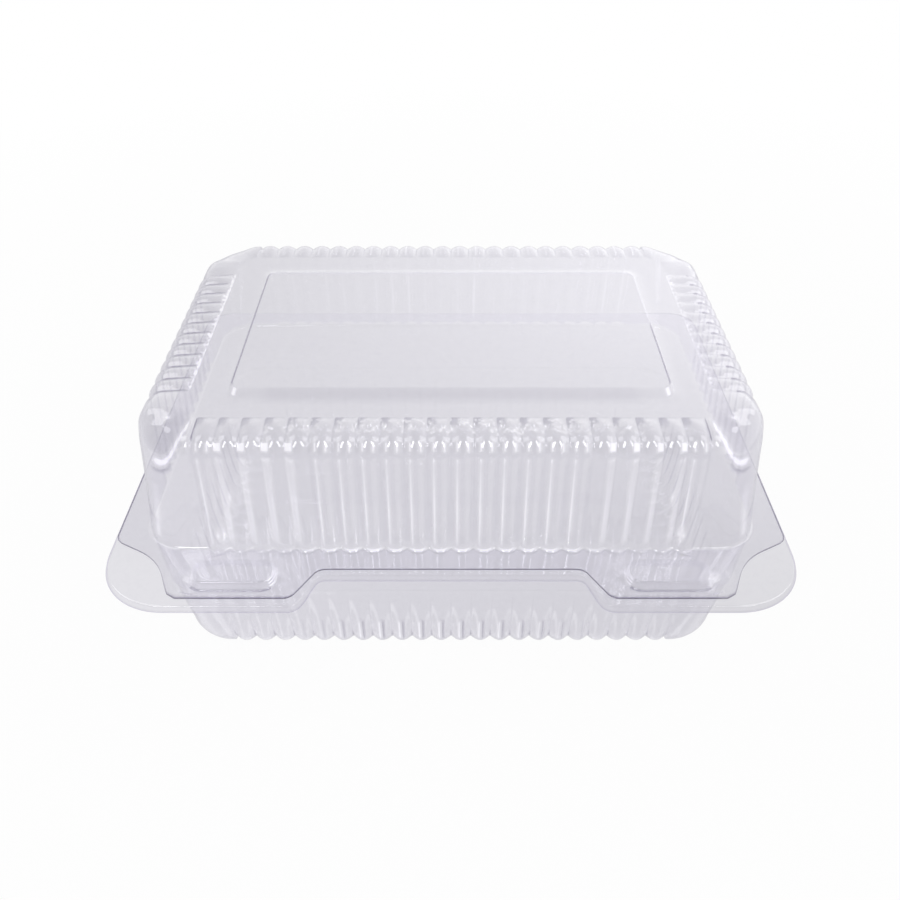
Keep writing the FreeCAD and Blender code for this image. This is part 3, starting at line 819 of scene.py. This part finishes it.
def knob_painted_light(across, up):
    """The same for a knob's patch, row by row from the pad's foot to the middle line: painted dark lines
    on the knob's foot and crown along the front, and painted glints on its round ends."""
    around = np.repeat([1.0, 0.25, 0.12, 0.25], [across, up, across, up])
    ends = np.repeat([0.0, 1.0, 0.0, 1.0], [across, up, across, up])
    pad = np.zeros((7, len(around)))
    flat = np.zeros((8, len(around)))
    flat[-1] = 0.45 * around - 0.5 * ends
    slope = np.zeros((8, len(around)))
    slope[0] = 0.2 * around
    slope[-1] = 0.12 * around - 0.9 * ends
    slope[1:7:2] -= 1.1 * ends
    return np.concatenate([pad, flat, slope, np.zeros((3, len(around)))]).reshape(-1)


def mesh_from(name, points, faces):
    """A mesh of quads, where a quad with two corners in one place becomes a triangle."""
    triangle = faces[:, 2] == faces[:, 3]
    mesh = bpy.data.meshes.new(name)
    mesh.from_pydata(points.tolist(), [], faces[~triangle].tolist() + faces[triangle][:, :3].tolist())
    mesh.update()
    return mesh


def welded(points, faces):
    """The same faces over points of which no two share a place. A quad with one side of no length is
    turned so that this side comes third, and one with more such sides is left out."""
    _, first, number = np.unique(np.round(points, 4), axis=0, return_index=True, return_inverse=True)
    faces = number.reshape(-1)[faces]
    no_length = faces == np.roll(faces, -1, axis=1)
    whole = no_length.sum(axis=1) <= 1
    faces, no_length = faces[whole], no_length[whole]
    shift = np.where(no_length.any(axis=1), np.argmax(no_length, axis=1) - 2, 0)
    faces = np.take_along_axis(faces, (np.arange(4) + shift[:, None]) % 4, axis=1)
    return points[first], faces, number.reshape(-1), first


def closed_sheet(name, points, faces, lines, rim, thickness, materials):
    """A closed thin sheet: the given skin, a second one moved by thickness along the first one's normals,
    and a rim of quads along the cut edge. A positive thickness puts the second skin above the first. The
    points keep their painted shade and painted highlights in the line attribute, and the rim's free part
    has its own slot."""
    points, faces, number, first = welded(points, faces)
    lines = lines[first]
    rim = number[rim]
    skin = mesh_from(name, points, faces)
    normals = np.zeros(len(points) * 3, np.float32)
    skin.vertices.foreach_get("normal", normals)
    second = points + thickness * normals.reshape(-1, 3)
    second[:, 1] = np.minimum(second[:, 1], hinge_reach)
    count = len(points)
    upper, lower = (faces, faces + count) if thickness < 0 else (faces + count, faces)
    edge = np.stack([rim, rim + count, np.roll(rim, -1) + count, np.roll(rim, -1)], axis=-1)
    edge = edge if thickness < 0 else edge[:, ::-1]
    turned = lower[:, ::-1].copy()
    triangle = lower[:, 2] == lower[:, 3]
    turned[triangle] = lower[triangle][:, [2, 1, 0, 0]]
    every = np.concatenate([upper, turned, edge])
    place = np.concatenate([points, second])
    place[:, 1] += bowl_y
    bpy.data.meshes.remove(skin)
    mesh = mesh_from(name, place * MM, every)
    mesh.shade_smooth()
    mesh.set_sharp_from_angle(angle=SHARP_ANGLE)
    mark = mesh.attributes.new("line", "FLOAT", "POINT")
    mark.data.foreach_set("value", np.concatenate([lines, lines]).astype(np.float32))
    for material in materials:
        mesh.materials.append(material)
    on_rim = np.zeros(len(place), bool)
    free = rim[points[rim][:, 1] < hinge_reach - 1.0]
    on_rim[free] = True
    on_rim[free + count] = True
    slots = [1 if all(on_rim[v] for v in face.vertices) else 0 for face in mesh.polygons]
    mesh.polygons.foreach_set("material_index", slots)
    piece = bpy.data.objects.new(name, mesh)
    bpy.context.scene.collection.objects.link(piece)
    return piece


def plug(tree, socket, value):
    """Links an output to a socket, or writes a plain value to it."""
    if isinstance(value, bpy.types.NodeSocket):
        tree.links.new(value, socket)
    else:
        socket.default_value = value


def math_node(tree, operation, a, b, clamp=False):
    """The output of a Math node whose inputs are outputs or plain numbers."""
    node = tree.nodes.new("ShaderNodeMath")
    node.operation = operation
    node.use_clamp = clamp
    plug(tree, node.inputs[0], a)
    plug(tree, node.inputs[1], b)
    return node.outputs[0]


def mapped(tree, value, from_range, to_range):
    """The output of a Map Range node, held inside its range."""
    node = tree.nodes.new("ShaderNodeMapRange")
    tree.links.new(value, node.inputs["Value"])
    for name, number in zip(("From Min", "From Max", "To Min", "To Max"), from_range + to_range):
        node.inputs[name].default_value = number
    return node.outputs[0]


def mixed_color(tree, factor, a, b):
    """The output of a colour mix whose sides are outputs or plain colours."""
    node = tree.nodes.new("ShaderNodeMix")
    node.data_type = "RGBA"
    tree.links.new(factor, node.inputs["Factor"])
    plug(tree, node.inputs["A"], a)
    plug(tree, node.inputs["B"], b)
    return [s for s in node.outputs if s.type == "RGBA"][0]


def mixed_shader(tree, factor, a, b):
    """The output of a Mix Shader node."""
    node = tree.nodes.new("ShaderNodeMixShader")
    for socket, output in zip(node.inputs, (factor, a, b)):
        tree.links.new(output, socket)
    return node.outputs[0]


def plain_shader(tree, kind, **values):
    """A shader node with the given values on its sockets."""
    node = tree.nodes.new(kind)
    for name, value in values.items():
        node.inputs[name].default_value = value
    return node


def noise(tree, vector, scale, detail):
    """A Noise Texture node on the given coordinates."""
    node = tree.nodes.new("ShaderNodeTexNoise")
    node.inputs["Scale"].default_value = scale
    node.inputs["Detail"].default_value = detail
    tree.links.new(vector, node.inputs["Vector"])
    return node


def empty_tree(owner):
    """The emptied node tree of a material or a world."""
    owner.use_nodes = True
    owner.node_tree.nodes.clear()
    return owner.node_tree


def forming_marks():
    """Height and haze of a formed clear sheet: slow waves where the sheet cooled unevenly, faint upright
    lines where it was drawn down the mould, and a fine scatter of rubbed spots."""
    group = bpy.data.node_groups.new("Forming marks", "ShaderNodeTree")
    for name in ("Waves", "Draw lines"):
        socket = group.interface.new_socket(name=name, in_out="INPUT", socket_type="NodeSocketFloat")
        socket.default_value = 1.0
    for name in ("Height", "Haze"):
        group.interface.new_socket(name=name, in_out="OUTPUT", socket_type="NodeSocketFloat")
    new, link = group.nodes.new, group.links.new
    source = new("NodeGroupInput")
    sink = new("NodeGroupOutput")
    place = new("ShaderNodeTexCoord").outputs["Object"]
    waves = noise(group, place, WAVE_SCALE, 1.0)
    stretch = new("ShaderNodeMapping")
    stretch.inputs["Scale"].default_value = DRAW_LINE_SCALE
    link(place, stretch.inputs["Vector"])
    lines = noise(group, stretch.outputs["Vector"], 1.0, 1.0)
    rubs = noise(group, place, RUB_SCALE, 2.0)
    rubs.inputs["Roughness"].default_value = RUB_ROUGHNESS
    wave_share = math_node(group, "MULTIPLY", waves.outputs[0], source.outputs["Waves"])
    line_share = math_node(group, "MULTIPLY", lines.outputs[0], source.outputs["Draw lines"])
    line_share = math_node(group, "MULTIPLY", line_share, DRAW_LINE_SHARE)
    link(math_node(group, "ADD", wave_share, line_share), sink.inputs["Height"])
    haze = math_node(group, "SUBTRACT", rubs.outputs[0], RUB_FROM)
    link(math_node(group, "MULTIPLY", haze, 2.0, clamp=True), sink.inputs["Haze"])
    return group


def clear_material(name, marks, steep_tint, steep_power, bump):
    """A clear sheet: it lets light through with a faint tint that deepens where it is seen edge-on, and
    mirrors the rest as much as the angle says, the same from inside and outside."""
    material = bpy.data.materials.new(name)
    tree = empty_tree(material)
    new, link = tree.nodes.new, tree.links.new
    detail = new("ShaderNodeGroup")
    detail.node_tree = marks
    relief = plain_shader(tree, "ShaderNodeBump", Strength=bump, Distance=BUMP_REACH)
    link(detail.outputs["Height"], relief.inputs["Height"])
    # Fresnel reads a back face as leaving a dense block, so its index is turned over there
    backfacing = new("ShaderNodeNewGeometry").outputs["Backfacing"]
    inside = math_node(tree, "MULTIPLY", backfacing, 1 / SHEET_IOR - SHEET_IOR)
    fresnel = new("ShaderNodeFresnel")
    link(math_node(tree, "ADD", inside, SHEET_IOR), fresnel.inputs["IOR"])
    link(relief.outputs["Normal"], fresnel.inputs["Normal"])
    weight = plain_shader(tree, "ShaderNodeLayerWeight", Blend=0.5)
    steepness = math_node(tree, "POWER", weight.outputs["Facing"], steep_power)
    # The painted light kept on the points: above 0 painted shade darkens the tint, and below 0 a painted
    # highlight brightens it
    line = new("ShaderNodeAttribute")
    line.attribute_name = "line"
    haze = math_node(tree, "MULTIPLY", detail.outputs["Haze"], HAZE_TINT)
    painted_dark_line = math_node(tree, "MAXIMUM", line.outputs["Fac"], 0.0)
    painted_highlight = math_node(tree, "MULTIPLY", line.outputs["Fac"], -1.0, clamp=True)
    painted_highlight = math_node(tree, "POWER", painted_highlight, HIGHLIGHT_SHARPNESS)
    darkness = math_node(tree, "ADD", steepness, math_node(tree, "ADD", painted_dark_line, haze), clamp=True)
    # Seen through the sheet in front of it, a wall shows its painted shade and highlights and what it
    # mirrors more faintly
    path = new("ShaderNodeLightPath")
    clarity = mapped(tree, path.outputs["Transparent Depth"], FADING_DEPTHS, (1.0, SEEN_THROUGH))
    darkness = math_node(tree, "MULTIPLY", darkness, clarity)
    painted_highlight = math_node(tree, "MULTIPLY", painted_highlight, clarity)
    mirror_share = math_node(tree, "MULTIPLY", clarity, 1 - MIRROR_KEPT)
    mirror_share = math_node(tree, "ADD", mirror_share, MIRROR_KEPT)
    mirror_share = math_node(tree, "MULTIPLY", mirror_share, fresnel.outputs[0])
    tint = mixed_color(tree, darkness, CLEAR, steep_tint)
    through = new("ShaderNodeBsdfTransparent")
    link(mixed_color(tree, painted_highlight, tint, PAINTED_HIGHLIGHT_TINT), through.inputs["Color"])
    gloss = plain_shader(tree, "ShaderNodeBsdfAnisotropic", Color=WHITE, Roughness=0.0)
    link(relief.outputs["Normal"], gloss.inputs["Normal"])
    whole = mixed_shader(tree, mirror_share, through.outputs[0], gloss.outputs[0])
    # Light on its way to a lamp passes plainly
    plain = plain_shader(tree, "ShaderNodeBsdfTransparent", Color=SHADOW_TINT)
    shaded = mixed_shader(tree, path.outputs["Is Shadow Ray"], whole, plain.outputs[0])
    link(shaded, new("ShaderNodeOutputMaterial").inputs["Surface"])
    return material


def behind_skins(tree, path):
    """How much of the pack a look has passed before the backdrop: a share for each skin, up to 1."""
    return math_node(tree, "MULTIPLY", path.outputs["Transparent Depth"], BEHIND_PER_SKIN, clamp=True)


def backdrop_color(tree, path):
    """White where the eye sees the backdrop itself, and a painted pale grey shade where it sees it through
    the pack or in the sheet's mirror, standing in for the pack's own soft shade and the light that its many
    thin walls take."""
    behind = math_node(tree, "ADD", behind_skins(tree, path), path.outputs["Is Glossy Ray"], clamp=True)
    return mixed_color(tree, behind, WHITE, PAINTED_SHADE_BEHIND_PACK)


def floor():
    """A plain white floor, a little glossy to what the sheet mirrors. What looks at it sees white,
    darkened by part of the pack's shadow near the pack."""
    mesh = bpy.data.meshes.new("floor")
    half = FLOOR_HALF
    corners = [(-half, -half), (half, -half), (half, half), (-half, half)]
    mesh.from_pydata([(x, y, -FLOOR_DROP) for x, y in corners], [], [(0, 1, 2, 3)])
    material = bpy.data.materials.new("white_floor")
    tree = empty_tree(material)
    new, link = tree.nodes.new, tree.links.new
    matt = plain_shader(tree, "ShaderNodeBsdfDiffuse", Color=FLOOR_COLOR)
    white = new("ShaderNodeEmission")
    path = new("ShaderNodeLightPath")
    link(backdrop_color(tree, path), white.inputs["Color"])
    # Painted light: through the pack it is brighter at the back right and darker at the front right
    place = new("ShaderNodeTexCoord").outputs["Object"]
    parts = new("ShaderNodeSeparateXYZ")
    link(place, parts.inputs[0])
    slant_x = mapped(tree, parts.outputs["X"], LIGHT_SLANT_RANGE_X, (-1.0, 1.0))
    slant_y = mapped(tree, parts.outputs["Y"], LIGHT_SLANT_RANGE_Y, (-1.0, 1.0))
    uneven = math_node(tree, "ADD", math_node(tree, "MULTIPLY", slant_x, FLOOR_LIGHT_SLANT), FLOOR_LIGHT_FURTHER)
    uneven = math_node(tree, "MULTIPLY", uneven, slant_y)
    uneven = math_node(tree, "MULTIPLY", uneven, behind_skins(tree, path))
    link(math_node(tree, "ADD", uneven, 1.0), white.inputs["Strength"])
    # The floor takes the shadow near the pack only
    away = new("ShaderNodeVectorMath")
    away.operation = "LENGTH"
    link(place, away.inputs[0])
    whiteness = mapped(tree, away.outputs["Value"], SHADOW_RANGE, (FLOOR_WHITENESS, 1.0))
    seen = math_node(tree, "ADD", path.outputs["Is Camera Ray"], path.outputs["Is Glossy Ray"])
    seen = math_node(tree, "ADD", seen, path.outputs["Is Transmission Ray"], clamp=True)
    seen = math_node(tree, "MULTIPLY", seen, whiteness)
    surface = mixed_shader(tree, seen, matt.outputs[0], white.outputs[0])
    shine = plain_shader(tree, "ShaderNodeBsdfAnisotropic", Color=WHITE, Roughness=FLOOR_POLISH_ROUGHNESS)
    polish = math_node(tree, "MULTIPLY", path.outputs["Is Glossy Ray"], FLOOR_POLISH)
    surface = mixed_shader(tree, polish, surface, shine.outputs[0])
    link(surface, new("ShaderNodeOutputMaterial").inputs["Surface"])
    mesh.materials.append(material)
    piece = bpy.data.objects.new("floor", mesh)
    bpy.context.scene.collection.objects.link(piece)


def softbox(name, azimuth, width, radiance):
    """A rectangular lamp that looks at the pack, as bright as radiance says. The azimuth counts from the
    front, to the right, in degrees."""
    lamp = bpy.data.lights.new(name, "AREA")
    lamp.shape = "RECTANGLE"
    lamp.size = width
    lamp.size_y = LAMP_HEIGHT
    lamp.energy = radiance * math.pi * width * LAMP_HEIGHT
    piece = bpy.data.objects.new(name, lamp)
    turn, rise = math.radians(azimuth), math.radians(LAMP_ELEVATION)
    way = Vector((math.sin(turn) * math.cos(rise), -math.cos(turn) * math.cos(rise), math.sin(rise)))
    piece.location = way * LAMP_DISTANCE + Vector((0, 0, LAMP_AIM_Z))
    piece.rotation_euler = way.to_track_quat("Z", "Y").to_euler()
    # Through the transparent pack the eye would see a lamp that it doesn't see directly, unless this is off
    piece.visible_camera = False
    bpy.context.scene.collection.objects.link(piece)


def studio_world():
    """A white room to the eye. What the sheet mirrors is brighter to the right and darker overhead."""
    world = bpy.data.worlds.new("studio")
    bpy.context.scene.world = world
    tree = empty_tree(world)
    new, link = tree.nodes.new, tree.links.new
    path = new("ShaderNodeLightPath")
    glossy = path.outputs["Is Glossy Ray"]
    seen = new("ShaderNodeBackground")
    link(backdrop_color(tree, path), seen.inputs["Color"])
    fill = plain_shader(tree, "ShaderNodeBackground", Color=WHITE)
    parts = new("ShaderNodeSeparateXYZ")
    link(new("ShaderNodeTexCoord").outputs["Generated"], parts.inputs[0])
    side = math_node(tree, "MULTIPLY", parts.outputs["X"], ROOM_SIDE)
    back = math_node(tree, "MULTIPLY", parts.outputs["Y"], ROOM_BACK)
    overhead = math_node(tree, "MULTIPLY", parts.outputs["Z"], -ROOM_OVERHEAD)
    level = math_node(tree, "ADD", math_node(tree, "ADD", side, back), overhead)
    level = math_node(tree, "ADD", level, ROOM_LEVEL)
    mirrored = math_node(tree, "MULTIPLY", level, glossy)
    others = math_node(tree, "MULTIPLY", math_node(tree, "SUBTRACT", 1.0, glossy), ROOM_FILL)
    link(math_node(tree, "ADD", mirrored, others), fill.inputs["Strength"])
    room = mixed_shader(tree, path.outputs["Is Camera Ray"], fill.outputs[0], seen.outputs[0])
    link(room, new("ShaderNodeOutputWorld").inputs["Surface"])


def camera():
    """The photograph's camera, level from side to side."""
    data = bpy.data.cameras.new("view")
    data.lens = CAMERA_LENS
    data.sensor_width = CAMERA_SENSOR
    data.shift_x = CAMERA_SHIFT
    piece = bpy.data.objects.new("view", data)
    piece.location = CAMERA_PLACE
    piece.rotation_euler = (math.radians(90 - CAMERA_DOWN), 0.0, 0.0)
    bpy.context.scene.collection.objects.link(piece)
    bpy.context.scene.camera = piece


def dressed(name, skin, lines, first_flange_row, growth, rise, thickness, materials):
    """A body's piece: its skin with the knobs set in, made a closed sheet from the outermost row on."""
    points, faces, painted_marks = sheet_skin(skin, lines, first_flange_row, growth, rise)
    return closed_sheet(name, points, faces, painted_marks, np.arange(skin.shape[1]), thickness, materials)


# The two pieces of the pack. The lid's knobs go over the tub's with a small clearance.
marks = forming_marks()
clear = clear_material("clear_sheet", marks, STEEP, STEEP_POWER, SHEET_BUMP)
cut_edge = clear_material("cut_edge", marks, EDGE_TINT, 0.0, EDGE_BUMP)
lip_edge = clear_material("lip_edge", marks, LIP_TINT, 0.0, EDGE_BUMP)

lid_growth = KNOB_CLEARANCE + SHEET
lid_rise = KNOB_HEIGHT + KNOB_CLEARANCE
lid = dressed("clear_lid", lid_rows(), lid_painted_light(), 0, lid_growth, lid_rise, -SHEET, [clear, cut_edge])
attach(lid, "lid_body")
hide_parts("lid")

tub = dressed("clear_tub", tub_rows(), tub_painted_light(), LIP_ROWS, -SHEET, KNOB_HEIGHT, SHEET, [clear, lip_edge])
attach(tub, "tub_body")
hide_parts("tub")


# Floor, light and camera
floor()
studio_world()
softbox("left_strip", -35, 0.26, 6.0)
softbox("right_strip", 46, 0.2, 5.0)
softbox("left_softbox", -96, 0.5, 1.5)
softbox("right_softbox", 96, 0.5, 1.5)
camera()
bpy.context.scene.cycles.transparent_max_bounces = CLEAR_LAYERS
bpy.context.scene.view_settings.view_transform = "Standard"
